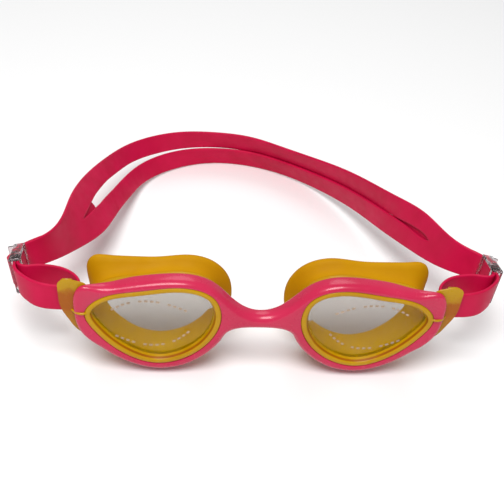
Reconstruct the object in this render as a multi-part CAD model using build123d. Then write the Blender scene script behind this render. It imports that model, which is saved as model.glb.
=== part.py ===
from build123d import *
import os

# Swim goggles. Millimetres, +Z up, lenses face -Y, the head strap runs back along +Y.
# The front stands on Z = 0 and the back of the strap lies on it.

# ---- driving dimensions ----
DEPTH_SHIFT = -77.0          # moves the middle of the loop's depth to Y = 0
FRAME_FRONT = -2.0
FRAME_BACK = 5.5
TEMPLE_END = 68.4            # half width of the rigid frame
TEMPLE_BACK = 3.0            # the frame is thinner outside TEMPLE_X
TEMPLE_X = 58.0
FRAME_ROUND = 1.4            # rounding of the frame's front edge
RIB_Z = 29.4                 # height of the temple rib between the frame's arms
RIB_T = 0.9
RIM_FRONT = -1.4
RIM_BACK = 8.0
RIM_WALL = 2.3
LEDGE = 0.9                  # step behind the lens
LENS_FRONT = 0.0
LENS_T = 1.6
FILM_T = 0.2
FILM_INSET = 1.2
SEAL_NECK = 1.1              # how far the neck sits inside the rim's outline
SEAL_WALL = 1.5
FLANGE_FRONT = 15.5
FLANGE_BACK = 17.8
LUG_TIP = 73.2               # half of the lug-to-lug width
LUG_FRONT = 0.0
LUG_WALL = 1.4
LUG_BACK = 5.2
ROOF_TOP = 42.4              # the eyelet's roof slopes from here down to ROOF_REAR
ROOF_REAR = 40.1
SLOT_LOW = 27.3
SLOT_HIGH = 39.2
SLOT_GAP = 1.9
SLOT_IN = 65.8
BAR_IN = 69.7                # the lug's rear bar runs from here to BAR_OUT
BAR_OUT = 72.4
STRAP_T = 1.1
STRAP_W = 11.1               # width of the strap's ends
SLIT_HALF = 0.045            # half of the slit, as a share of the band's width
TAIL = 56.0                  # free end past each buckle
FACE_LENGTH = 40.0           # rough length of one face along the strap
INNER_N = -0.9               # height of the two strap layers inside the buckle
OUTER_N = 0.45
BUCKLE_AT = Vector(89.8, 20.5, 32.3)
BUCKLE_ALONG = Vector(0, 0.98, -0.2).normalized()
BUCKLE_UP = Vector(0.2, 0.2, 0.96)

# outlines of the right eye, (X, Z)
RIM_OUTLINE = [(64.6, 29.4), (60.3, 35.4), (45, 39.9), (29.5, 41.8), (18.2, 37.6), (14.8, 28.6),
               (18.2, 17.2), (26.5, 9), (38, 5.6), (52, 11.4), (61.6, 21.6)]
FLANGE_OUTLINE = [(64.6, 33), (64.2, 38), (61.4, 41.4), (52, 42), (38, 42.4), (26, 43.4), (17, 40),
                  (11.6, 33), (10.2, 24), (14, 12), (24, 3.3), (38, 0.2), (52, 5), (61.6, 18)]
# right half of the frame's outline, from the middle of the bridge's top to the middle of its underside
FRAME_OUTLINE = [(0, 28.7), (4, 29.3), (8.2, 31.4), (12.8, 35.5), (18, 40.5), (25, 43.6), (32, 44.2),
                 (41.5, 43.3), (51, 41.6), (60, 40.8), (66.2, 40.6), (67.9, 38), (TEMPLE_END, 30),
                 (67.6, 24), (65.8, 19.6), (62, 14.8), (56.5, 9.8), (48, 4.5), (37, 1.9), (27, 4.2),
                 (19, 10), (13.9, 16.8), (11.8, 20.4), (8, 22.3), (4, 22.8), (0, 22.9)]
LUG_OUTLINE = [(64, 41.6), (68, 41.8), (71.6, ROOF_TOP), (LUG_TIP, 41.2), (73.1, 36), (72.5, 31), (69.8, 25.5),
               (67, 21), (64, 18.5)]

# the band behind the buckles, from the right buckle round to the left: lower edge, upper edge
BAND = [
    ((80.5, 35.0, 24.4), (83.5, 36.0, 36.9)),
    ((72.5, 45.0, 22.4), (77.4, 47.0, 36.7)),
    ((67.5, 57.0, 19.4), (72.8, 60.0, 36.0)),
    ((60.5, 77.0, 14.3), (63.5, 79.0, 32.4)),
    ((50.5, 106.0, 7.5), (48.5, 107.0, 26.3)),
    ((37.5, 130.0, 2.3), (34.0, 126.0, 21.8)),
    ((22.0, 145.5, 0.4), (19.5, 139.0, 19.8)),
    ((6.0, 153.0, 0.1), (4.5, 148.0, 19.6)),
    ((-11.0, 155.0, 0.1), (-12.0, 151.5, 19.5)),
    ((-28.0, 150.0, 0.2), (-30.5, 150.5, 19.6)),
    ((-43.5, 136.0, 1.5), (-49.5, 140.5, 20.2)),
    ((-52.0, 113.0, 6.5), (-62.5, 117.0, 25.2)),
    ((-58.0, 86.0, 12.9), (-71.5, 89.0, 31.2)),
    ((-64.0, 62.5, 18.0), (-75.7, 64.0, 35.5)),
    ((-72.8, 46.5, 21.7), (-77.8, 47.0, 36.4)),
    ((-81.5, 35.0, 24.4), (-84.0, 35.0, 36.8)),
]
SLIT_FIRST, SLIT_LAST = 2, 13            # rows of BAND between which the band is split

# the end loop in plan, right side, from the buckle round the lug's bar and back
LOOP = [(86.9, 12.6), (83, 13.5), (78, 14.0), (73.5, 12.9), (70.0, 10.4), (67.8, 7.6),
        (67.0, 5.0), (67.8, 3.0), (70.2, 2.35), (74.5, 2.4), (79, 2.8), (83.4, 4.4),
        (87.0, 7.4), (89.3, 10.4)]
WEAVE = [(-6.5, OUTER_N), (-4.9, 0.6), (-3.3, 1.7), (-1.7, 3.1), (0, 3.6), (1.8, 3.1), (3.6, 1.7),
         (5.2, 0.6), (7.0, OUTER_N)]


def slab(outline, y_front, y_back):
    """Extrude an (X, Z) sketch from y_front back to y_back."""
    return extrude(Plane.XZ.offset(-y_front) * outline, amount=y_front - y_back)


def closed(points):
    return make_face(Spline(*points, periodic=True))


def grown(points, amount):
    """The closed outline through the points, moved outwards by amount."""
    edge = Spline(*points, periodic=True)
    moved = []
    for i in range(24):
        at, along = edge.position_at(i / 24), edge.tangent_at(i / 24)
        moved.append((at.X + along.Y * amount, at.Y - along.X * amount))
    return closed(moved)


def flip(shape):
    return mirror(shape, about=Plane.YZ)


def block(x, y, z):
    """A box from (low, high) pairs."""
    size = [b - a for a, b in (x, y, z)]
    middle = [(a + b) / 2 for a, b in (x, y, z)]
    return Pos(*middle) * Box(*size)


# ---- eye pieces, right side ----
rim_face = closed(RIM_OUTLINE)
lens_face = grown(RIM_OUTLINE, -RIM_WALL)


def front_frame():
    left = [(-x, z) for x, z in reversed(FRAME_OUTLINE[1:-1])]
    outline = closed(FRAME_OUTLINE + left)
    body = slab(outline, FRAME_FRONT, FRAME_BACK)
    front = body.faces().sort_by(Axis.Y)[0]
    body = fillet(front.edges(), FRAME_ROUND)
    for side in (lambda s: s, flip):
        body -= side(slab(rim_face, FRAME_FRONT - 1, FRAME_BACK + 1))
        body -= side(block((64, LUG_TIP), (FRAME_FRONT - 1, FRAME_BACK + 1),
                           (RIB_Z - RIB_T / 2, RIB_Z + RIB_T / 2)))
        body -= side(block((TEMPLE_X, LUG_TIP), (TEMPLE_BACK, FRAME_BACK + 1), (5, 50)))
        body -= side(block((63.9, LUG_TIP), (LUG_FRONT, LUG_BACK + 5), (10, 50)))
    return body


def rim():
    body = slab(rim_face, RIM_FRONT, RIM_BACK)
    body = fillet(body.faces().sort_by(Axis.Y)[0].edges(), 0.6)
    body -= slab(lens_face, RIM_FRONT - 1, LENS_FRONT + LENS_T)
    body -= slab(grown(RIM_OUTLINE, -RIM_WALL - LEDGE), LENS_FRONT, RIM_BACK + 1)
    rib = block((63.5, TEMPLE_END), (FRAME_FRONT + 0.4, LUG_FRONT + 0.2),
                (RIB_Z - RIB_T / 2, RIB_Z + RIB_T / 2))
    return body + (rib - slab(rim_face, -9, 9)) + (lug() - slab(rim_face, -9, 9))


def lug():
    """Closed eyelet: front wall, floor and roof of the slot, and the bar the strap loops round."""
    edge = Polyline(*LUG_OUTLINE, close=True)
    whole = slab(make_face(edge), LUG_FRONT, LUG_BACK)
    over = Polyline((LUG_WALL, ROOF_TOP), (LUG_BACK + 1, ROOF_TOP + 2), (LUG_BACK, ROOF_REAR), close=True)
    whole -= extrude(Plane.YZ * make_face(over), amount=90)
    gap_front = LUG_FRONT + LUG_WALL
    slot = (SLOT_LOW, SLOT_HIGH)
    whole -= block((BAR_OUT, 80), (gap_front, LUG_BACK + 1), slot)
    whole -= block((BAR_IN, 80), (gap_front, gap_front + SLOT_GAP), slot)
    whole -= block((SLOT_IN, BAR_IN), (gap_front, LUG_BACK + 1), slot)
    # the arm that joins the eyelet to the rim is only as thick as the front wall below the slot
    whole -= block((60, 80), (gap_front + 2.2, LUG_BACK + 1), (10, SLOT_LOW - 2.0))
    return whole


def seal():
    neck = grown(RIM_OUTLINE, -SEAL_NECK)
    bore = grown(RIM_OUTLINE, -SEAL_NECK - SEAL_WALL)
    flange = closed(FLANGE_OUTLINE)
    body = slab(neck, RIM_BACK, FLANGE_FRONT)
    plate = slab(flange, FLANGE_FRONT, FLANGE_BACK)
    plate = fillet(plate.faces().sort_by(Axis.Y)[0].edges(), 0.9)
    collar = slab(rim_face, RIM_BACK, RIM_BACK + 1.2)
    return body + plate + collar - slab(bore, RIM_BACK - 1, FLANGE_BACK + 1)


def lens():
    body = slab(lens_face, LENS_FRONT, LENS_FRONT + LENS_T)
    return chamfer(body.faces().sort_by(Axis.Y)[0].edges(), 0.3)


def film():
    return slab(grown(RIM_OUTLINE, -RIM_WALL - FILM_INSET), LENS_FRONT - FILM_T, LENS_FRONT)


# ---- strap and buckles ----
along = BUCKLE_ALONG
outward = along.cross(BUCKLE_UP).normalized()
upward = outward.cross(along).normalized()


def in_buckle(u, n):
    return BUCKLE_AT + along * u + outward * n


def row(centre, up, width=STRAP_W):
    half = up.normalized() * (width / 2)
    return centre - half, centre + half


def ribbon(rows, thickness=STRAP_T):
    """A strip through rows of (lower, upper) points, with the rows on its middle surface."""
    rows = [(Vector(a), Vector(b)) for a, b in rows]
    mids = [(a + b) * 0.5 for a, b in rows]
    corners = [[], [], [], []]
    for i, (a, b) in enumerate(rows):
        ahead = mids[min(i + 1, len(mids) - 1)] - mids[max(i - 1, 0)]
        half = ahead.cross(b - a).normalized() * (thickness / 2)
        for line, point in zip(corners, (a - half, b - half, b + half, a + half)):
            line.append(point)
    steps = [(b - a).length for a, b in zip(mids, mids[1:])]
    reached = [sum(steps[:i]) / sum(steps) for i in range(len(mids))]
    rails = [Edge.make_spline(line, parameters=reached) for line in corners]
    count = max(1, round(sum(steps) / FACE_LENGTH))
    sides = []
    for k in range(count):
        part = [rail.trim(k / count, (k + 1) / count) for rail in rails]
        sides += [Face.make_surface_from_curves(part[i], part[(i + 1) % 4]) for i in range(4)]
    ends = [make_face(Polyline(*[line[i] for line in corners], close=True)).face() for i in (0, -1)]
    return Solid(Shell(sides + ends))


def mirrored(rows):
    return [(Vector(-a.X, a.Y, a.Z), Vector(-b.X, b.Y, b.Z)) for a, b in rows]


def band_rows():
    right = row(in_buckle(8.5, INNER_N), upward)
    left = mirrored([right])[0]
    return [right] + [(Vector(a), Vector(b)) for a, b in BAND] + [left]


def end_rows(tail):
    """The strap's end on the right: under the buckle, round the lug's bar and over the buckle."""
    rows = [row(in_buckle(u, INNER_N), upward) for u in (8.5, 4, 0, -4, -6.5)]
    slot_z = (SLOT_LOW + SLOT_HIGH) / 2
    buckle_z = in_buckle(-8, 0).Z
    for x, y in LOOP:
        near = min(1.0, max(0.0, (x - 76) / 12))
        up = Vector(0, 0, 1) * (1 - near) + upward * near
        rows.append(row(Vector(x, y, slot_z + (buckle_z - slot_z) * near), up))
    rows += [row(in_buckle(u, n), upward) for u, n in WEAVE]
    return rows + tail


def tail_rows(rows, length):
    """Rows lying on the outside of the band over the given length."""
    low = Spline(*[a for a, b in rows])
    high = Spline(*[b for a, b in rows])
    steps = round(length / 7)
    out = []
    for i in range(1, steps + 1):
        s, t = [length * i / steps / edge.length for edge in (low, high)]
        a, b = low.position_at(s), high.position_at(t)
        side = (low.tangent_at(s) + high.tangent_at(t)).cross(b - a).normalized()
        out.append(row((a + b) * 0.5 + side * (OUTER_N - INNER_N), b - a))
    return out


def head_strap():
    rows = band_rows()
    strap = ribbon(rows)
    slit = rows[1 + SLIT_FIRST:2 + SLIT_LAST]
    cut = []
    for i, (a, b) in enumerate(slit):
        half = SLIT_HALF if 0 < i < len(slit) - 1 else SLIT_HALF / 3
        cut.append((a + (b - a) * (0.5 - half), a + (b - a) * (0.5 + half)))
    strap -= ribbon(cut, 4 * STRAP_T)
    strap += ribbon(end_rows(tail_rows(rows, TAIL)))
    strap += flip(ribbon(end_rows(tail_rows(mirrored(rows[::-1]), TAIL))))
    return strap


def buckle():
    """Clear three-bar buckle: u along the strap, w across it, n away from the head."""
    seat = Plane(origin=BUCKLE_AT, x_dir=along, z_dir=outward)
    w_in, w_out = 5.9, 7.2
    body = block((-7, 7.4), (w_in, w_out), (-2.6, 2.6)) + block((-7, 7.4), (-w_out, -w_in), (-2.6, 2.6))
    for u in ((-7, -5.2), (5.4, 7.4)):
        body += block(u, (-w_out, w_out), (1.4, 2.6))
    for u in ((-6, -4.2), (4.8, 7.4)):
        body += block(u, (-w_out, w_out), (-2.6, -1.7))
    body += block((-0.9, 0.9), (-w_out, w_out), (-0.1, 2.65))
    body += block((6.2, 7.4), (-6, 6), (2.6, 4.6))
    return seat * body


os.makedirs("parts", exist_ok=True)
place = Pos(0, DEPTH_SHIFT, 0)
pieces = {
    "front_frame": front_frame(),
    "right_rim": rim(),
    "right_seal": seal(),
    "right_lens": lens(),
    "right_lens_film": film(),
    "right_buckle": buckle(),
    "head_strap": head_strap(),
}
for name in list(pieces):
    if name.startswith("right_"):
        pieces[name.replace("right_", "left_")] = flip(pieces[name])
for name, shape in pieces.items():
    export_step(place * shape, f"parts/{name}.step")
    box = (place * shape).bounding_box()
    print(name, len(shape.solids()), round(shape.volume), box.min, box.max)
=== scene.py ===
import math

import bmesh
import bpy
import numpy as np
from mathutils import Matrix, Vector
from mathutils.geometry import delaunay_2d_cdt


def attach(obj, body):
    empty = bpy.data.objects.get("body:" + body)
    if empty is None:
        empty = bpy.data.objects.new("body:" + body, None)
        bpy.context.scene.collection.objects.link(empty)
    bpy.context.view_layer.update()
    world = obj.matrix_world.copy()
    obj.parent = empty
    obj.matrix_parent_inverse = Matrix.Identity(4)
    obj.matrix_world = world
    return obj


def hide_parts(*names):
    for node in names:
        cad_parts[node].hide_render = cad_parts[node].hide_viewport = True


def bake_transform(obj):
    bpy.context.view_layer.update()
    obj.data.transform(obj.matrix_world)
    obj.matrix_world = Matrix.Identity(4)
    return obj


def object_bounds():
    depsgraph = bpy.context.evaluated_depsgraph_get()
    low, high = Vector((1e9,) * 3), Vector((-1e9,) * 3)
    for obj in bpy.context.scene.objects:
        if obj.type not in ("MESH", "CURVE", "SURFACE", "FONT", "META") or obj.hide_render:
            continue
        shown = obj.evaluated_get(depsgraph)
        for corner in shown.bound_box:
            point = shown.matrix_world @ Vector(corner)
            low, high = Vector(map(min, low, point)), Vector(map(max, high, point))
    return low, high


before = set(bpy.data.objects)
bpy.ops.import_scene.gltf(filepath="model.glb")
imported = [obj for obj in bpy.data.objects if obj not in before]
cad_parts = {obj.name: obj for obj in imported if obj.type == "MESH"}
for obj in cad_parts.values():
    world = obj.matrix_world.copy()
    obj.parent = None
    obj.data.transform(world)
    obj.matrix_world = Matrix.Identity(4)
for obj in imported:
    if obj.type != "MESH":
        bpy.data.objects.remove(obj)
CAD_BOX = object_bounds()

# Lengths below are in millimetres, with the frame's front near Y = 0. place() turns them into the
# row's frame.
MM = 0.001
DEPTH_SHIFT = -77.0

# ---- sizes ----
FRAME_FRONT = -2.0
FRAME_BACK = 5.2
TEMPLE_BACK = 2.6            # the frame thins towards the temples
COVER_FROM, COVER_TO = 57.0, 66.5    # between these it thins to a cover over the lug
RIM_BACK = 8.0
LENS_INSET = 2.35
LENS_FRONT = 0.3
LENS_CROWN = 1.1
LENS_T = 1.3
FILM_INSET = 1.1             # the film's edge from the lens's
RIB_Z = 29.4
SLOT_LOW = 27.3
SLOT_HIGH = 39.2
LUG_BACK = 5.2
STRAP_T = 1.2
STRAP_W = 11.1
TAIL = 56.0
INNER_N = -0.9
OUTER_N = 0.45

# outlines of the right eye, (X, Z), anticlockwise seen from the front
RIM_OUTLINE = [(64.6, 29.4), (60.3, 35.4), (45, 39.9), (29.5, 41.8), (18.2, 37.6), (14.8, 28.6),
               (18.2, 17.2), (26.5, 9), (38, 5.6), (52, 11.4), (61.6, 21.6)]
FLANGE_OUTLINE = [(64.6, 33), (64.8, 38), (62.6, 41.4), (57, 42.1), (48, 42.1), (38, 42.4), (26, 43.4),
                  (17, 40), (11.6, 33), (10.2, 24), (14, 12), (24, 3.3), (38, 0.2), (52, 5), (61.6, 18)]
FRAME_OUTLINE = [(0, 28.7), (4, 29.3), (8.2, 31.4), (12.8, 35.5), (18, 40.5), (25, 43.6), (32, 44.2),
                 (41.5, 43.3), (51, 41.6), (60, 40.8), (66.2, 40.6), (67.9, 38), (68.4, 30),
                 (67.6, 24), (65.8, 19.6), (62, 14.8), (56.5, 9.8), (48, 4.5), (37, 1.9), (27, 4.2),
                 (19, 10), (13.9, 16.8), (11.8, 20.4), (8, 22.3), (4, 22.8), (0, 22.9)]
LUG_OUTLINE = [(64.6, 40.4), (68, 41.6), (71.4, 42.3), (72.9, 41.6), (73.2, 39.6), (73, 36), (72.5, 31.6),
               (71.2, 28.2), (69.4, 25), (67, 21.2), (64.9, 19.6), (64.3, 25), (64.3, 34)]

# cross-section of the ring round the lens, from its outer wall over the lip to its inner wall:
# inset from RIM_OUTLINE, depth
RIM_PROFILE = [(0.0, RIM_BACK), (0.0, -1.3), (0.12, -1.75), (0.4, -2.0), (0.9, -2.1), (1.5, -2.08),
               (1.9, -1.95), (2.15, -1.65), (2.28, -1.25), (2.48, -0.8), (2.7, -0.4), (2.85, 0.0),
               (2.85, 0.2), (2.32, 0.28), (2.32, 1.65), (3.1, 1.75), (3.2, 2.2), (3.2, RIM_BACK)]
# slot 1 paints the shade of the groove line inside the lip in a darker yellow; slot 2 gives the inner wall,
# seen through the lens, the lighter, faintly glowing inner-skirt yellow as painted light
RIM_BANDS = {7: 1, 8: 1, 14: 2, 15: 2, 16: 2}    # the line inside the lip, and the inner wall
EYELET_SLOT = 3
# cross-section of the seal: share of the way from RIM_OUTLINE to FLANGE_OUTLINE, inset, depth
SEAL_PROFILE = [(0, 0.1, 7.0), (0, 0.0, 8.3), (0, 0.35, 9.1), (0.05, 1.3, 9.6), (0.1, 1.6, 10.4),
                (0.22, 1.6, 11.8), (0.45, 1.2, 13.3), (0.72, 0.6, 14.5), (0.93, 0.1, 15.3),
                (1, 0.0, 16.0), (1, 0.0, 16.8), (1, 0.35, 17.5), (1, 1.0, 17.8), (1, 2.2, 17.8),
                (0.8, 3.2, 17.5), (0.5, 3.3, 16.8), (0.25, 3.0, 15.4), (0.1, 2.8, 13.2),
                (0, 2.7, 10.5), (0, 2.7, 7.0)]
# the inner skirt takes a lighter, faintly glowing copy of the seal's yellow: painted light for the skirt
# seen through the lens
SEAL_BANDS = {15: 1, 16: 1, 17: 1, 18: 1}        # the inner skirt
FLANGE_WRAP = 1.2            # how far the flange's side ends curl back round the face

# roof and floor of the eyelet: lowest and highest Z in front, outermost X in front, outer face's Z behind
LUG_ROOF = (SLOT_HIGH, 42.1, 72.9, 40.0)
LUG_FLOOR = (24.8, SLOT_LOW, 69.6, 26.2)

# the band behind the buckles, from the right buckle round to the left: lower edge, upper edge
BAND = [
    ((80.5, 35.0, 24.4), (83.5, 36.0, 36.9)),
    ((72.5, 45.0, 22.4), (77.4, 47.0, 36.7)),
    ((67.5, 57.0, 19.4), (72.8, 60.0, 36.0)),
    ((60.5, 77.0, 14.3), (63.5, 79.0, 32.4)),
    ((50.5, 106.0, 7.5), (48.5, 107.0, 26.3)),
    ((37.5, 130.0, 2.3), (34.0, 126.0, 21.8)),
    ((22.0, 145.5, 0.4), (19.5, 139.0, 19.8)),
    ((6.0, 153.0, 0.1), (4.5, 148.0, 19.6)),
    ((-11.0, 155.0, 0.1), (-12.0, 151.5, 19.5)),
    ((-28.0, 150.0, 0.2), (-30.5, 150.5, 19.6)),
    ((-43.5, 136.0, 1.5), (-49.5, 140.5, 20.2)),
    ((-52.0, 113.0, 6.5), (-62.5, 117.0, 25.2)),
    ((-58.0, 86.0, 12.9), (-71.5, 89.0, 31.2)),
    ((-64.0, 62.5, 18.0), (-75.7, 64.0, 35.5)),
    ((-72.8, 46.5, 21.7), (-77.8, 47.0, 36.4)),
    ((-81.5, 35.0, 24.4), (-84.0, 35.0, 36.8)),
]
# at rows of BAND: half of the slit as a share of the width, and how far the branches lap, in mm
SLIT = [(1.35, 0.0, 0.0), (1.5, 0.045, 0.0), (1.8, 0.065, 0.0), (2.2, 0.045, 0.0), (2.6, 0.015, -0.1),
        (2.8, 0.0, -0.35), (3.0, -0.012, -0.6), (3.4, -0.03, -0.75), (5, -0.035, -0.75), (7, -0.025, -0.75),
        (8, -0.01, -0.7), (8.8, 0.012, -0.3), (9.6, 0.035, 0.0), (10.5, 0.08, 0.0), (11.5, 0.11, 0.0),
        (12.2, 0.09, 0.0), (12.8, 0.035, 0.0), (13.1, 0.0, 0.0)]
LOOP = [(86.9, 12.6), (83, 13.5), (78, 14.0), (73.5, 12.9), (70.0, 10.4), (67.8, 7.6),
        (67.0, 5.0), (67.8, 3.0), (70.2, 2.35), (74.5, 2.4), (79, 2.8), (83.4, 4.4),
        (87.0, 7.4), (89.3, 10.4)]
WEAVE = [(-6.5, OUTER_N), (-4.9, 0.6), (-3.3, 1.7), (-1.7, 3.1), (0, 3.6)]
LOOP_JOIN = 78.0             # X where the turn round the lug meets the rest of the loop
WEAVE_OUT = [(0, 3.6), (1.8, 3.1), (3.6, 1.7), (5.2, 0.6), (7.0, OUTER_N)]


# ---- curves ----
def cubic(points, closed=False, at=None):
    """Cubic spline through the points. Returns a function of the parameter and the points' parameters."""
    p = np.array(points, float)
    if closed:
        p = np.vstack([p, p[:1]])
    if at is None:
        at = np.concatenate([[0], np.cumsum(np.linalg.norm(np.diff(p, axis=0), axis=1))])
    h = np.diff(at)
    slope = np.diff(p, axis=0) / h[:, None]
    n = len(p)
    a = np.zeros((n, n))
    b = np.zeros_like(p)
    for i in range(1, n - 1):
        a[i, i - 1:i + 2] = h[i - 1], 2 * (h[i - 1] + h[i]), h[i]
        b[i] = 6 * (slope[i] - slope[i - 1])
    if closed:
        a[0, 0], a[0, -1] = 1, -1
        a[-1, 0], a[-1, 1], a[-1, -2], a[-1, -1] = 2 * h[0], h[0], h[-1], 2 * h[-1]
        b[-1] = 6 * (slope[0] - slope[-1])
    else:
        a[0, 0] = a[-1, -1] = 1
    m = np.linalg.solve(a, b)

    def evaluate(t):
        t = np.atleast_1d(np.asarray(t, float))
        i = np.clip(np.searchsorted(at, t, side="right") - 1, 0, n - 2)
        d = h[i][:, None]
        u = (t - at[i])[:, None]
        v = d - u
        bend = (m[i] * v ** 3 + m[i + 1] * u ** 3) / (6 * d)
        return bend + (p[i] / d - m[i] * d / 6) * v + (p[i + 1] / d - m[i + 1] * d / 6) * u

    return evaluate, np.asarray(at)


def spread(points, count, closed=False):
    """Evenly spaced points on the smooth curve through the given ones."""
    evaluate, at = cubic(points, closed)
    fine = evaluate(np.linspace(0, at[-1], 2000))
    run = np.concatenate([[0], np.cumsum(np.linalg.norm(np.diff(fine, axis=0), axis=1))])
    want = np.linspace(0, run[-1], count, endpoint=not closed)
    return np.column_stack([np.interp(want, run, column) for column in fine.T])


def unit(v):
    return v / np.linalg.norm(v, axis=-1, keepdims=True)


def outward_of(loop):
    """Outward directions of a closed anticlockwise (X, Z) loop."""
    ahead = unit(np.roll(loop, -1, axis=0) - np.roll(loop, 1, axis=0))
    return np.column_stack([ahead[:, 1], -ahead[:, 0]])


def inset(loop, amount):
    return loop - outward_of(loop) * np.reshape(amount, (-1, 1))


def at_depth(loop, y):
    """An (X, Z) loop as points at depth y."""
    return np.column_stack([loop[:, 0], np.broadcast_to(y, len(loop)), loop[:, 1]])


def step(x, low, high):
    t = np.clip((x - low) / (high - low), 0, 1)
    return t * t * (3 - 2 * t)


# ---- meshes ----
class Shape:
    """Vertices and faces gathered for one object."""

    def __init__(self):
        self.points = []
        self.faces = []
        self.slots = []

    def add(self, points, faces, slots=None):
        start = len(self.points)
        self.points.extend(tuple(p) for p in points)
        self.faces.extend(tuple(start + i for i in face) for face in faces)
        self.slots.extend(slots or [0] * len(faces))

    def join(self, other):
        self.add(other.points, other.faces, other.slots)

    def mirrored(self):
        out = Shape()
        out.add([(-x, y, z) for x, y, z in self.points], [f[::-1] for f in self.faces], self.slots)
        return out


def loft(loops, ring=False, ends=(None, None), bands=None):
    """Skin closed loops of equal length. ring joins the last to the first, ends are 'flat' or a tip point,
    and bands gives the material slot of the band after each loop, where it isn't the first."""
    shape = Shape()
    n = len(loops[0])
    faces = []
    count = len(loops)
    for k in range(count if ring else count - 1):
        a, b = k * n, (k + 1) % count * n
        faces += [(a + i, a + (i + 1) % n, b + (i + 1) % n, b + i) for i in range(n)]
    points = [p for loop in loops for p in loop]
    slots = [(bands or {}).get(k // n, 0) for k in range(len(faces))]
    first, last = ends
    if first == "flat":
        faces.append(tuple(reversed(range(n))))
    elif first is not None:
        faces += [((i + 1) % n, i, len(points)) for i in range(n)]
        points.append(first)
    base = (count - 1) * n
    if last == "flat":
        faces.append(tuple(range(base, base + n)))
    elif last is not None:
        faces += [(base + i, base + (i + 1) % n, len(points)) for i in range(n)]
        points.append(last)
    shape.add(points, faces, slots + [0] * (len(faces) - len(slots)))
    return shape


def block(x, y, z, round_off=0.3):
    """A box with rounded edges, from (low, high) pairs."""
    mesh = bmesh.new()
    bmesh.ops.create_cube(mesh, size=1)
    for v in mesh.verts:
        v.co = Vector([pair[0] + (pair[1] - pair[0]) * (c + 0.5) for pair, c in zip((x, y, z), v.co)])
    bmesh.ops.bevel(mesh, geom=mesh.edges[:], offset=round_off, segments=3, profile=0.5, affect="EDGES")
    shape = Shape()
    mesh.verts.index_update()
    shape.add([v.co for v in mesh.verts], [[v.index for v in f.verts] for f in mesh.faces])
    mesh.free()
    return shape


def inside(point, loop):
    """Whether a 2D point is inside a closed loop."""
    x, z = point
    a, b = loop, np.roll(loop, -1, axis=0)
    crosses = (a[:, 1] > z) != (b[:, 1] > z)
    with np.errstate(divide="ignore", invalid="ignore"):
        at = a[:, 0] + (z - a[:, 1]) / (b[:, 1] - a[:, 1]) * (b[:, 0] - a[:, 0])
    return np.count_nonzero(crosses & (x < at)) % 2 == 1


def between(outer, holes):
    """Triangles between a closed outer loop and its holes, as indices into the loops laid end to end."""
    loops = [outer] + holes
    points = [Vector(p) for loop in loops for p in loop]
    edges, start = [], 0
    for loop in loops:
        n = len(loop)
        edges += [(start + i, start + (i + 1) % n) for i in range(n)]
        start += n
    found, _, faces, *_ = delaunay_2d_cdt(points, edges, [], 0, 1e-7)
    keep = []
    for face in faces:
        middle = sum((found[i] for i in face), Vector((0, 0))) / len(face)
        if inside(middle, outer) and not any(inside(middle, h) for h in holes):
            keep.append(tuple(face))
    return keep


def place(shape, name, materials, body=None, smooth=35):
    """Make a Blender object of a shape, in metres in the row's frame."""
    mesh = bpy.data.meshes.new(name)
    points = [(x * MM, (y + DEPTH_SHIFT) * MM, z * MM) for x, y, z in shape.points]
    mesh.from_pydata(points, [], shape.faces)
    mesh.polygons.foreach_set("material_index", shape.slots)
    tidy = bmesh.new()
    tidy.from_mesh(mesh)
    bmesh.ops.remove_doubles(tidy, verts=tidy.verts, dist=1e-7)
    bmesh.ops.recalc_face_normals(tidy, faces=tidy.faces)
    tidy.to_mesh(mesh)
    tidy.free()
    mesh.polygons.foreach_set("use_smooth", [True] * len(mesh.polygons))
    mesh.set_sharp_from_angle(angle=math.radians(smooth))
    for material in materials if isinstance(materials, (list, tuple)) else [materials]:
        mesh.materials.append(material)
    obj = bpy.data.objects.new(name, mesh)
    bpy.context.scene.collection.objects.link(obj)
    if body:
        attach(obj, body)
    return obj


# ---- materials ----
def srgb(r, g, b):
    def linear(c):
        c /= 255
        return c / 12.92 if c <= 0.04045 else ((c + 0.055) / 1.055) ** 2.4
    return linear(r), linear(g), linear(b), 1.0


def material(name, **settings):
    """A Principled material; settings are its sockets by name, with _ for spaces."""
    made = bpy.data.materials.new(name)
    made.use_nodes = True
    shader = made.node_tree.nodes["Principled BSDF"]
    for key, value in settings.items():
        shader.inputs[key.replace("_", " ")].default_value = value
    return made


def node(made, kind, **settings):
    new = made.node_tree.nodes.new(kind)
    for key, value in settings.items():
        socket = new.inputs.get(key.replace("_", " "))
        if socket is not None:
            socket.default_value = value
        else:
            setattr(new, key, value)
    return new


def link(made, start, end):
    made.node_tree.links.new(start, end)


def noise(made, scale, detail=3.0):
    coordinates = node(made, "ShaderNodeTexCoord")
    pattern = node(made, "ShaderNodeTexNoise", Scale=scale, Detail=detail)
    link(made, coordinates.outputs["Object"], pattern.inputs["Vector"])
    return pattern.outputs["Fac"]


def ramp(made, source, stops):
    new = node(made, "ShaderNodeValToRGB")
    elements = new.color_ramp.elements
    while len(elements) < len(stops):
        elements.new(0.5)
    for element, (at, colour) in zip(elements, stops):
        element.position = at
        element.color = colour
    link(made, source, new.inputs["Fac"])
    return new.outputs["Color"]


def spread_to(made, source, low, high, socket):
    """Drive a shader socket between two values by a 0 to 1 pattern."""
    new = node(made, "ShaderNodeMapRange", To_Min=low, To_Max=high, From_Min=0.3, From_Max=0.7)
    link(made, source, new.inputs["Value"])
    link(made, new.outputs["Result"], made.node_tree.nodes["Principled BSDF"].inputs[socket])


def bump(made, source, strength, distance):
    new = node(made, "ShaderNodeBump", Strength=strength, Distance=distance)
    link(made, source, new.inputs["Height"])
    link(made, new.outputs["Normal"], made.node_tree.nodes["Principled BSDF"].inputs["Normal"])


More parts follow.
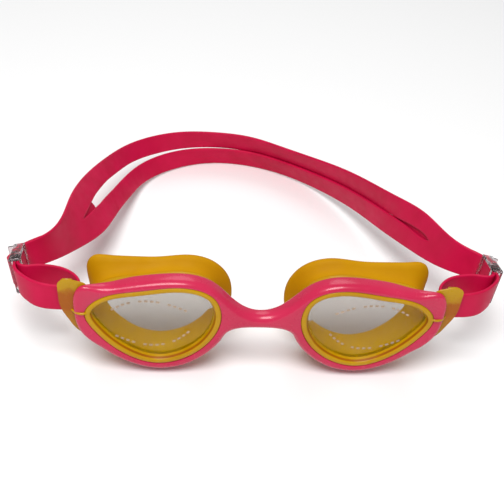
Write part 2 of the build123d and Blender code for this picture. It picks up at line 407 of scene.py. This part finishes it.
def finish(made, colour, rough, scale, grain, depth):
    """Give a material its colour, patchy gloss and a fine grain."""
    link(made, colour, made.node_tree.nodes["Principled BSDF"].inputs["Base Color"])
    spread_to(made, noise(made, scale * 3), rough[0], rough[1], "Roughness")
    bump(made, noise(made, grain, 2.0), 0.25, depth)
    return made


def moulded(name, dark, light, rough, scale=60, grain=900, depth=0.00002, **settings):
    """A moulded plastic or rubber with a slow colour drift."""
    made = material(name, **settings)
    colour = ramp(made, noise(made, scale), [(0.3, srgb(*dark)), (0.7, srgb(*light))])
    return finish(made, colour, rough, scale, grain, depth)


def graded(name, stops, low, high, rough, scale=60, grain=900, depth=0.00002, **settings):
    """A moulded rubber whose colour goes through the stops from low to high, in metres, softly blurred."""
    made = material(name, **settings)
    place_of = node(made, "ShaderNodeTexCoord")
    split = node(made, "ShaderNodeSeparateXYZ")
    height = node(made, "ShaderNodeMapRange", From_Min=low, From_Max=high)
    stir = node(made, "ShaderNodeMath", operation="MULTIPLY_ADD")
    stir.inputs[1].default_value = 0.5
    shift = node(made, "ShaderNodeMath", operation="ADD")
    shift.inputs[1].default_value = -0.25
    link(made, place_of.outputs["Object"], split.inputs["Vector"])
    link(made, split.outputs["Z"], height.inputs["Value"])
    link(made, noise(made, 170), stir.inputs[0])
    link(made, height.outputs["Result"], stir.inputs[2])
    link(made, stir.outputs["Value"], shift.inputs[0])
    colour = ramp(made, shift.outputs["Value"], [(at, srgb(*paint)) for at, paint in stops])
    return finish(made, colour, rough, scale, grain, depth)


def clear(name, tint, rough, ior, scale):
    """Clear plastic. Rays from lamps pass straight through, so that what is inside is lit."""
    made = material(name, Base_Color=srgb(*tint), Roughness=rough, IOR=ior, Transmission_Weight=1.0)
    bump(made, noise(made, scale), 0.06, 0.0002)
    mix = node(made, "ShaderNodeMixShader")
    through = node(made, "ShaderNodeBsdfTransparent", Color=srgb(*tint))
    rays = node(made, "ShaderNodeLightPath")
    link(made, rays.outputs["Is Shadow Ray"], mix.inputs["Fac"])
    link(made, made.node_tree.nodes["Principled BSDF"].outputs["BSDF"], mix.inputs[1])
    link(made, through.outputs["BSDF"], mix.inputs[2])
    link(made, mix.outputs["Shader"], made.node_tree.nodes["Material Output"].inputs["Surface"])
    return made


PINK = moulded("pink_gloss_plastic", (184, 26, 66), (194, 36, 76), (0.2, 0.3), Coat_Weight=0.2,
               Coat_Roughness=0.06, Specular_IOR_Level=0.28)
STRAP = moulded("pink_silicone", (180, 4, 56), (194, 9, 66), (0.42, 0.54), scale=90, grain=1500,
                Specular_IOR_Level=0.16)
RIM = moulded("yellow_gloss_rubber", (172, 126, 0), (184, 140, 0), (0.22, 0.34), Coat_Weight=0.12,
              Coat_Roughness=0.12, Specular_IOR_Level=0.16)
# painted shade: a darker copy of the rim's yellow, for the groove line inside the lip
GROOVE_PAINTED_SHADE = moulded("rim_groove_shade", (140, 74, 0), (158, 90, 0), (0.3, 0.4), Specular_IOR_Level=0.16)
# the colour bands by height paint the lug's light and shade: lighter at the top, darker orange across the
# middle, khaki lower down
LUG = graded("yellow_translucent_lug", [(0.0, (160, 112, 24)), (0.3, (160, 104, 14)), (0.5, (156, 82, 0)),
                                       (0.68, (158, 84, 0)), (0.84, (176, 132, 6)), (1.0, (182, 140, 8))],
             0.019, 0.043, (0.22, 0.36), scale=140, Coat_Weight=0.12, Coat_Roughness=0.1,
             Specular_IOR_Level=0.16)
SEAL = moulded("yellow_silicone", (178, 124, 0), (188, 136, 0), (0.55, 0.68), grain=2200,
               Specular_IOR_Level=0.08)
# painted light: a much lighter copy of the seal's yellow with a faint glow, for the inner skirt and the
# rim's inner wall seen through the lens
SKIRT_PAINTED_GLOW = moulded("yellow_silicone_inner_skirt_painted_glow", (250, 204, 0), (254, 214, 0), (0.5, 0.62), grain=2200,
                Specular_IOR_Level=0.08, Emission_Color=srgb(255, 190, 0), Emission_Strength=0.05)
# painted shade: the lens's grey tint darkens what is seen through it; lamp rays pass with the same tint
LENS = clear("clear_lens", (196, 194, 190), 0.02, 1.22, 40)
FILM = clear("clear_film", (244, 243, 242), 0.05, 1.12, 120)
PRINT = moulded("film_marks", (164, 142, 122), (176, 154, 134), (0.5, 0.6), Specular_IOR_Level=0.05)
# painted shade: the buckle's grey-pink tint stands in for the dark surroundings seen through the clear
# plastic
CLEAR = clear("clear_buckle", (214, 206, 208), 0.04, 1.5, 150)


# ---- rigid front ----
def frame_back(x):
    """Depth of the frame's back at x: thinner towards the temples, then only a cover over the lug."""
    x = np.abs(x)
    bridge = 1.2 * np.exp(-(x / 9.0) ** 2)
    thin = step(x, 46, 62)
    cover = step(x, COVER_FROM, COVER_TO)
    depth = (FRAME_BACK - bridge) * (1 - thin) + TEMPLE_BACK * thin
    return depth * (1 - cover) - 0.05 * cover


def front_frame():
    """One-piece frame: crowned top, a broad rounded front edge, a wider chamfer over the bridge."""
    left = [(-x, z) for x, z in reversed(FRAME_OUTLINE[1:-1])]
    outline = spread(FRAME_OUTLINE + left, 480, closed=True)[::-1]
    facing = outward_of(outline)
    back = frame_back(outline[:, 0])
    bridge = np.exp(-(outline[:, 0] / 9.5) ** 2)
    top = np.clip(facing[:, 1], 0, 1)
    temple = step(np.abs(outline[:, 0]), 58, 64)
    wide = (2.5 - 0.5 * top) * (1 - temple) + 1.5 * temple + 0.9 * bridge * top
    deep = np.minimum(2.8 + 0.4 * top, (back - FRAME_FRONT) * 0.62)
    hind = np.minimum(1.6 * top + 0.5, (back - FRAME_FRONT) * 0.3)
    loops = []
    for k in range(6):
        turn = math.pi / 2 * k / 5
        ring = inset(outline, 0.7 * hind * (1 - math.sin(turn)))
        loops.append(at_depth(ring, back - hind * (1 - math.cos(turn))))
    for k in range(1, 11):
        turn = math.pi / 2 * k / 10
        ring = inset(outline, wide * (1 - math.cos(turn)))
        loops.append(at_depth(ring, FRAME_FRONT + deep * (1 - math.sin(turn))))
    shape = loft(loops)
    rim = spread(RIM_OUTLINE, 180, closed=True)
    holes = []
    for eye in (rim, (rim * [-1, 1])[::-1]):
        walls = [at_depth(inset(eye, -0.3), FRAME_FRONT),
                 at_depth(inset(eye, -0.1), FRAME_FRONT + 0.12),
                 at_depth(inset(eye, -0.02), FRAME_FRONT + 0.4),
                 at_depth(eye, frame_back(eye[:, 0]))]
        shape.join(loft(walls))
        holes.append(walls)
    for index, outer in ((0, loops[-1]), (-1, loops[0])):
        rings = [outer] + [walls[index] for walls in holes]
        flat = [ring[:, [0, 2]] for ring in rings]
        shape.add(np.vstack(rings), between(flat[0], flat[1:]))
    return shape


def rim():
    """Ring round the lens: rounded lip, a line inside it in a darker yellow that paints the groove's shade,
    and the ledge the lens sits on.
    """
    outline = spread(RIM_OUTLINE, 180, closed=True)
    shape = loft([at_depth(inset(outline, a), y) for a, y in RIM_PROFILE], ring=True, bands=RIM_BANDS)
    eyelet = lug()
    eyelet.slots = [EYELET_SLOT] * len(eyelet.faces)
    shape.join(eyelet)
    shape.join(rib())
    return shape


def lug():
    """Closed eyelet for the strap: front wall, sloping roof, floor and rear bar."""
    outline = spread(LUG_OUTLINE, 90, closed=True)
    loops = [at_depth(inset(outline, 0.3), 1.4), at_depth(outline, 1.1)]
    for k in range(6):
        turn = math.pi / 2 * k / 5
        loops.append(at_depth(inset(outline, 0.9 * (1 - math.cos(turn))), 0.75 * (1 - math.sin(turn))))
    middle = outline.mean(axis=0)
    shape = loft(loops, ends=((middle[0], 1.4, middle[1]), (middle[0], 0.0, middle[1])))
    for low, high, reach, last in (LUG_ROOF, LUG_FLOOR):
        shape.join(web(low, high, reach, last))
    shape.join(block((69.7, 72.4), (3.3, LUG_BACK), (26.8, 39.7), 0.5))
    return shape


def web(low, high, reach, last):
    """A roof or floor of the eyelet, from the front wall back to the bar, with its outer face sloping."""
    roof = high > 40
    loops = []
    for share in (0, 0.1, 0.35, 0.6, 0.85, 0.97, 1):
        y = 0.9 + (LUG_BACK - 0.9) * share
        outer = (high if roof else low) * (1 - share) + last * share
        a, b = (low, outer) if roof else (outer, high)
        pinch = 0.35 * step(share, 0.9, 1)
        x0, x1 = (68.4 if roof else 64.6) + share, reach + (0 if roof else (72.5 - reach) * share)
        loops.append(rounded(x0 + pinch, x1 - pinch, a + pinch * 0.4, b - pinch, y))
    return loft(loops, ends=("flat", "flat"))


def rounded(x0, x1, z0, z1, y, radius=0.35):
    """A rectangle with rounded corners at depth y."""
    out = []
    for cx, cz, start in ((x1, z1, 0), (x0, z1, 90), (x0, z0, 180), (x1, z0, 270)):
        sx, sz = (1 if cx == x1 else -1), (1 if cz == z1 else -1)
        for k in range(4):
            turn = math.radians(start + 30 * k)
            out.append((cx + radius * (math.cos(turn) - sx), y, cz + radius * (math.sin(turn) - sz)))
    return np.array(out)


def rib():
    """Thin rib from the rim's outer corner to the lug, between the frame's two temple arms."""
    path = spread([(63.8, -1.7), (65, -2.15), (66.4, -2.1), (67.6, -1.5), (68.5, -0.6), (69.2, 0.3)], 18)
    loops = []
    for i, (x, y) in enumerate(path):
        ahead = unit(path[min(i + 1, 17)] - path[max(i - 1, 0)])
        side = np.array([ahead[1], -ahead[0]])
        angles = np.linspace(0, 2 * math.pi, 12, endpoint=False)
        loops.append([(x + side[0] * 0.45 * math.cos(a), y + side[1] * 0.45 * math.cos(a),
                       RIB_Z + 0.5 * math.sin(a)) for a in angles])
    return loft(loops, ends=("flat", "flat"))


def seal():
    """Soft eyecup: collar, narrower groove, then a skirt that flares into the face flange."""
    a = spread(RIM_OUTLINE, 180, closed=True)
    b = spread(FLANGE_OUTLINE, 180, closed=True)
    loops = []
    for mix, amount, y in SEAL_PROFILE:
        loop = inset(a * (1 - mix) + b * mix, amount)
        wrap = mix * FLANGE_WRAP * ((loop[:, 0] - 36) / 28) ** 2
        loops.append(at_depth(loop, y + wrap - 0.6 * mix))
    return loft(loops, ring=True, bands=SEAL_BANDS)


def pane(amount, y, thickness, crown, edge):
    """A crowned sheet following the rim's outline."""
    outline = inset(spread(RIM_OUTLINE, 180, closed=True), amount)
    middle = (outline.max(axis=0) + outline.min(axis=0)) / 2

    def disc(share, at):
        return at_depth(middle + (outline - middle) * share, at - crown * (1 - share ** 2))

    shares = (0.15, 0.35, 0.55, 0.75, 0.9, 0.97)
    loops = [disc(s, y + thickness) for s in shares]
    loops += [at_depth(outline, y + thickness - edge), at_depth(outline, y + edge)]
    loops += [disc(s, y) for s in reversed(shares)]
    tips = [(middle[0], at - crown, middle[1]) for at in (y + thickness, y)]
    return loft(loops, ends=tips)


DASH = (0.62, 0.42)          # half length and half height of a printed dash


def film_marks():
    """Two arcs of plain dashes, where a protective film is printed."""
    shape = Shape()
    arcs = (([(27.6, 30.2), (35, 33.4), (44, 34.4), (51, 32.6), (55.5, 29.8)], 14),
            ([(26.4, 20.6), (31, 16.4), (38, 13.8), (46, 14.8), (54, 18.2)], 14))
    middle, reach = np.array((39.8, 23.7)), np.array((23.5, 17.2))
    for arc, count in arcs:
        line = spread(arc, count * 4)
        for k in range(count):
            if k % 5 == 4:
                continue
            at, ahead = line[4 * k + 1], unit(line[4 * k + 2] - line[4 * k])
            across = np.array([-ahead[1], ahead[0]])
            corners = [at + ahead * DASH[0] * s + across * DASH[1] * t
                       for s, t in ((-1, -1), (1, -1), (1, 1), (-1, 1))]
            share = np.sum(((at - middle) / reach) ** 2)
            y = LENS_FRONT - 0.17 - LENS_CROWN * (1 - min(1, share))
            faces = [[(p[0], y - d, p[1]) for p in corners] for d in (0, 0.03)]
            shape.join(loft(faces, ends=("flat", "flat")))
    return shape


# ---- strap ----
BUCKLE_AT = np.array((89.8, 20.5, 32.3))
ALONG = unit(np.array((0, 0.98, -0.2)))
OUTWARD = unit(np.cross(ALONG, (0.2, 0.2, 0.96)))
UPWARD = unit(np.cross(OUTWARD, ALONG))


def in_buckle(u, n):
    return BUCKLE_AT + ALONG * u + OUTWARD * n


def row(centre, up, width=STRAP_W):
    half = unit(np.asarray(up, float)) * (width / 2)
    return centre - half, centre + half


def mirror_rows(rows):
    return [tuple(np.array(p) * (-1, 1, 1) for p in pair) for pair in rows]


class Ruled:
    """The smooth surface through rows of (lower, upper) points."""

    def __init__(self, rows):
        rows = [(np.array(a, float), np.array(b, float)) for a, b in rows]
        middle = np.array([(a + b) / 2 for a, b in rows])
        steps = np.linalg.norm(np.diff(middle, axis=0), axis=1)
        self.at = np.concatenate([[0], np.cumsum(steps)])
        self.low, _ = cubic([a for a, b in rows], at=self.at)
        self.high, _ = cubic([b for a, b in rows], at=self.at)

    def frame(self, s):
        """Lower edge, the way across and the outward normal at s."""
        low, high = self.low(s), self.high(s)
        nudge = 0.05
        ahead = (self.low(s + nudge) + self.high(s + nudge)) - (self.low(s - nudge) + self.high(s - nudge))
        return low, high - low, unit(np.cross(ahead, high - low))


def columns(width, first_round, last_round, edge=0.42):
    """Shares across a strip and the half thickness at each, with rounded edges."""
    near = [0.0, 0.07, 0.2, 0.42]
    places = near + list(np.linspace(0.9, width - 0.9, 5)) + [width - d for d in reversed(near)]
    out = []
    for d in places:
        height = 1.0
        for away, rounded in ((d, first_round), (width - d, last_round)):
            if away < edge:
                full = max(0.25, math.sqrt(max(0, 1 - (1 - away / edge) ** 2)))
                height = min(height, 1 + (full - 1) * rounded)
        out.append((d / width, height * STRAP_T / 2))
    return out


def strip(surface, stations, width=None, taper=0):
    """A plain strip along part of a ruled surface, its far end rounded over the taper length."""
    low, across, normal = surface.frame(stations)
    shape = Shape()
    loops = []
    for i, s in enumerate(stations):
        full = np.linalg.norm(across[i])
        left = stations[-1] - s
        share = 1.0
        if taper and left < taper:
            share = max(0.12, math.sqrt(max(0, 1 - (1 - left / taper) ** 2)))
        middle = low[i] + across[i] / 2
        cells = columns(full, 1, 1)
        face = [middle + across[i] * (v - 0.5) * share + normal[i] * h for v, h in cells]
        back = [middle + across[i] * (v - 0.5) * share - normal[i] * h for v, h in cells]
        loops.append(face + back[::-1])
    shape.join(loft(loops, ends=("flat", "flat")))
    return shape


def split_band(surface, stations, slit):
    """The band with its slit: two branches that share their vertices where the band is in one piece."""
    low, across, normal = surface.frame(stations)
    points, faces = [], []
    index = []
    for i, s in enumerate(stations):
        gap, lap = slit(s)
        width = np.linalg.norm(across[i])
        parted = min(1.0, abs(lap) * 3 + abs(gap) / 0.01)
        cells = columns(width * (0.5 - gap), 1, parted)
        strips = {"lower": [(v * (0.5 - gap), h, lap) for v, h in cells]}
        strips["upper"] = [(1 - v, h, -lap) for v, h, lap in reversed(strips["lower"])]
        entry = {"open": parted > 0}
        for name, strip_cells in strips.items():
            for side in (1, -1):
                line = []
                for k, (v, h, shift) in enumerate(strip_cells):
                    if name == "upper" and k == 0 and parted == 0:
                        line.append(entry["lower", side][-1])
                        continue
                    line.append(len(points))
                    share = min(v, 1 - v) * 2
                    away = h * side + shift * step(share, 0.25, 0.9)
                    points.append(low[i] + across[i] * v + normal[i] * away)
                entry[name, side] = line
        index.append(entry)
    for a, b in zip(index, index[1:]):
        for name in ("lower", "upper"):
            for side in (1, -1):
                p, q = a[name, side], b[name, side]
                quads = [(p[k], p[k + 1], q[k + 1], q[k]) for k in range(len(p) - 1)]
                faces += quads if side == 1 else [quad[::-1] for quad in quads]
        walls = [("lower", 0), ("upper", -1)]
        if a["open"] or b["open"]:
            walls += [("lower", -1), ("upper", 0)]
        for name, k in walls:
            faces.append((a[name, 1][k], b[name, 1][k], b[name, -1][k], a[name, -1][k]))
    for entry in (index[0], index[-1]):
        if entry["open"]:
            faces += [tuple(entry[name, 1] + entry[name, -1][::-1]) for name in ("lower", "upper")]
        else:
            front = entry["lower", 1] + entry["upper", 1][1:]
            behind = entry["lower", -1] + entry["upper", -1][1:]
            faces.append(tuple(front + behind[::-1]))
    shape = Shape()
    shape.add(points, faces)
    return shape


def band_rows():
    start = [row(in_buckle(u, INNER_N), UPWARD) for u in (0, 4, 8.5)]
    return start + [tuple(np.array(p, float) for p in pair) for pair in BAND] + mirror_rows(start[::-1])


def tail_rows(rows, length):
    """Rows on the outside of the band, past the buckle."""
    surface = Ruled(rows)
    low, across, normal = surface.frame(surface.at[2] + np.linspace(0, length, round(length / 7) + 1)[1:])
    return [row(a + w / 2 + n * (OUTER_N - INNER_N), w) for a, w, n in zip(low, across, normal)]


def loop_rows():
    rows = [row(in_buckle(u, INNER_N), UPWARD) for u in (0, -4, -6.5)]
    slot_z = (SLOT_LOW + SLOT_HIGH) / 2
    buckle_z = in_buckle(-8, 0)[2]
    for x, y in LOOP:
        near = min(1.0, max(0.0, (x - 76) / 12))
        up = np.array((0, 0, 1)) * (1 - near) + UPWARD * near
        rows.append(row(np.array((x, y, slot_z + (buckle_z - slot_z) * near)), up))
    return rows + [row(in_buckle(u, n), UPWARD) for u, n in WEAVE]


def strap_pieces():
    """The strap in three meshes a side: half of the band with its tail, the turn round the lug's bar, and
    the loop from there to the buckle."""
    rows = band_rows()
    surface = Ruled(rows)
    slit_at = [np.interp(k + 3, range(len(rows)), surface.at) for k, _, _ in SLIT]

    def slit(s):
        if not slit_at[0] < s < slit_at[-1]:
            return 0.0, 0.0
        return tuple(float(np.interp(s, slit_at, column)) for column in list(zip(*SLIT))[1:])

    middle = surface.at[len(rows) // 2]
    made = {}
    halves = {"right": np.linspace(0, middle, 170), "left": np.linspace(middle, surface.at[-1], 170)}
    tails = {"right": rows, "left": mirror_rows(rows[::-1])}
    for side, stations in halves.items():
        shape = split_band(surface, stations, slit)
        over = [row(in_buckle(u, n), UPWARD) for u, n in WEAVE_OUT] + tail_rows(tails[side], TAIL)
        path = Ruled(over)
        tail = strip(path, np.linspace(0, path.at[-1], 80), taper=5)
        shape.join(tail if side == "right" else tail.mirrored())
        made[side, "band"] = shape
    path = Ruled(loop_rows())
    stations = np.linspace(0, path.at[-1], 150)
    low, across, _ = path.frame(stations)
    near_lug = np.flatnonzero((low + across / 2)[:, 0] < LOOP_JOIN)
    first, last = near_lug[0], near_lug[-1]
    turn = strip(path, stations[first:last + 1])
    ends = strip(path, stations[:first + 1])
    ends.join(strip(path, stations[last:]))
    for name, shape in (("lug_turn", turn), ("loop", ends)):
        made["right", name] = shape
        made["left", name] = shape.mirrored()
    return made


def buckle():
    """Clear three-bar buckle: u along the strap, w across it, n away from the head."""
    u_across_n = [
        ((-7.0, -5.3), (-7.15, 7.15), (0.95, 2.3), 0.55),
        ((5.5, 7.3), (-7.15, 7.15), (0.95, 2.3), 0.5),
        ((-0.8, 0.8), (-6.4, 6.4), (-0.1, 2.75), 0.6),
        ((-6.0, -4.4), (-6.6, 6.6), (-2.2, -1.6), 0.25),
        ((4.9, 7.2), (-6.6, 6.6), (-2.2, -1.6), 0.25),
        ((6.2, 7.35), (-6.6, 6.6), (2.0, 4.5), 0.45),
        ((-6.8, 7.3), (5.95, 7.2), (-2.2, 2.2), 0.5),
        ((-6.8, 7.3), (-7.2, -5.95), (-2.2, 2.2), 0.5),
    ]
    shape = Shape()
    for u, w, n, soft in u_across_n:
        part = block(u, w, n, soft)
        moved = [BUCKLE_AT + ALONG * a + UPWARD * b + OUTWARD * c for a, b, c in part.points]
        shape.add(moved, part.faces)
    return shape


# ---- build ----
def both_sides(shape, name, materials, *nodes):
    for side, one in (("right", shape), ("left", shape.mirrored())):
        obj = place(one, f"{side}_{name}", materials, "frame")
        if nodes:
            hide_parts(*[f"{side}_{n}" for n in nodes])


frame_obj = place(front_frame(), "front_frame_moulding", PINK, "frame")
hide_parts("front_frame")
both_sides(rim(), "rim_and_lug", [RIM, GROOVE_PAINTED_SHADE, SKIRT_PAINTED_GLOW, LUG], "rim")
both_sides(seal(), "eyecup_seal", [SEAL, SKIRT_PAINTED_GLOW], "seal")
both_sides(pane(LENS_INSET, LENS_FRONT, LENS_T, LENS_CROWN, 0.25), "clear_lens", LENS, "lens")
cover = pane(LENS_INSET + FILM_INSET, LENS_FRONT - 0.15, 0.1, LENS_CROWN, 0.02)
both_sides(cover, "lens_cover_film", FILM, "lens_film")
both_sides(film_marks(), "film_dashes", PRINT)

for (side, part), shape in strap_pieces().items():
    obj = place(shape, f"head_strap_{side}_{part}", STRAP, smooth=50)
    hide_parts("head_strap")
    if part == "lug_turn":
        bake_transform(obj)
    elif part == "loop":
        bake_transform(obj)
    else:
        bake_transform(obj)

for side, shape in (("right", buckle()), ("left", buckle().mirrored())):
    obj = place(shape, f"{side}_clear_buckle", CLEAR, f"{side}_buckle")
    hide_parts(f"{side}_buckle")


# ---- floor, light and camera ----
FLOOR_REACH = 3              # half of the floor's side, m
VIEW_LIFT, VIEW_TURN, VIEW_ROLL = 36, 6.22, 5.11     # degrees
VIEW_AIM = (-0.00547, -0.0764, 0.057)
VIEW_DISTANCE = 0.353
FOCAL_LENGTH = 71.43         # mm on a 36 mm sensor
ROOM_LIGHT = 0.45


def floor():
    mesh = bpy.data.meshes.new("floor")
    corners = [(-1, -1), (1, -1), (1, 1), (-1, 1)]
    mesh.from_pydata([(x * FLOOR_REACH, y * FLOOR_REACH, 0) for x, y in corners], [], [(0, 1, 2, 3)])
    obj = bpy.data.objects.new("floor", mesh)
    paint = material("pale_floor", Base_Color=(0.9, 0.9, 0.9, 1), Roughness=0.7)
    mesh.materials.append(paint)
    bpy.context.scene.collection.objects.link(obj)
    obj.location.z = CAD_BOX[0][2] - 0.0002


def lamp(name, at, size, power, target=(0, -0.02, 0.02)):
    data = bpy.data.lights.new(name, "AREA")
    data.shape = "DISK"
    data.size = size
    data.energy = power
    obj = bpy.data.objects.new(name, data)
    obj.location = at
    aim = Vector(target) - Vector(at)
    obj.rotation_euler = aim.to_track_quat("-Z", "Y").to_euler()
    bpy.context.scene.collection.objects.link(obj)


def camera():
    """Elevated view from the front, turned a little and rolled a little."""
    lift, turn, roll = (math.radians(a) for a in (VIEW_LIFT, VIEW_TURN, VIEW_ROLL))
    ahead = Vector((math.sin(turn) * math.cos(lift), math.cos(turn) * math.cos(lift), -math.sin(lift)))
    right = Vector((math.cos(turn), -math.sin(turn), 0))
    up = right.cross(ahead)
    level = Matrix((right, up, -ahead)).transposed()
    data = bpy.data.cameras.new("camera")
    data.sensor_width = 36
    data.lens = FOCAL_LENGTH
    obj = bpy.data.objects.new("camera", data)
    place_at = Matrix.Translation(Vector(VIEW_AIM) - ahead * VIEW_DISTANCE)
    obj.matrix_world = place_at @ (level @ Matrix.Rotation(roll, 3, "Z")).to_4x4()
    bpy.context.scene.collection.objects.link(obj)
    bpy.context.scene.camera = obj


floor()
lamp("key_softbox", (-0.12, -0.46, 0.86), 0.5, 8.0)
lamp("rear_softbox", (0.05, 0.55, 0.8), 0.5, 1.4)
camera()
scene = bpy.context.scene
scene.view_settings.view_transform = "Standard"
world = bpy.data.worlds.new("studio")
world.use_nodes = True
world.node_tree.nodes["Background"].inputs["Color"].default_value = (1, 1, 1, 1)
world.node_tree.nodes["Background"].inputs["Strength"].default_value = ROOM_LIGHT
scene.world = world
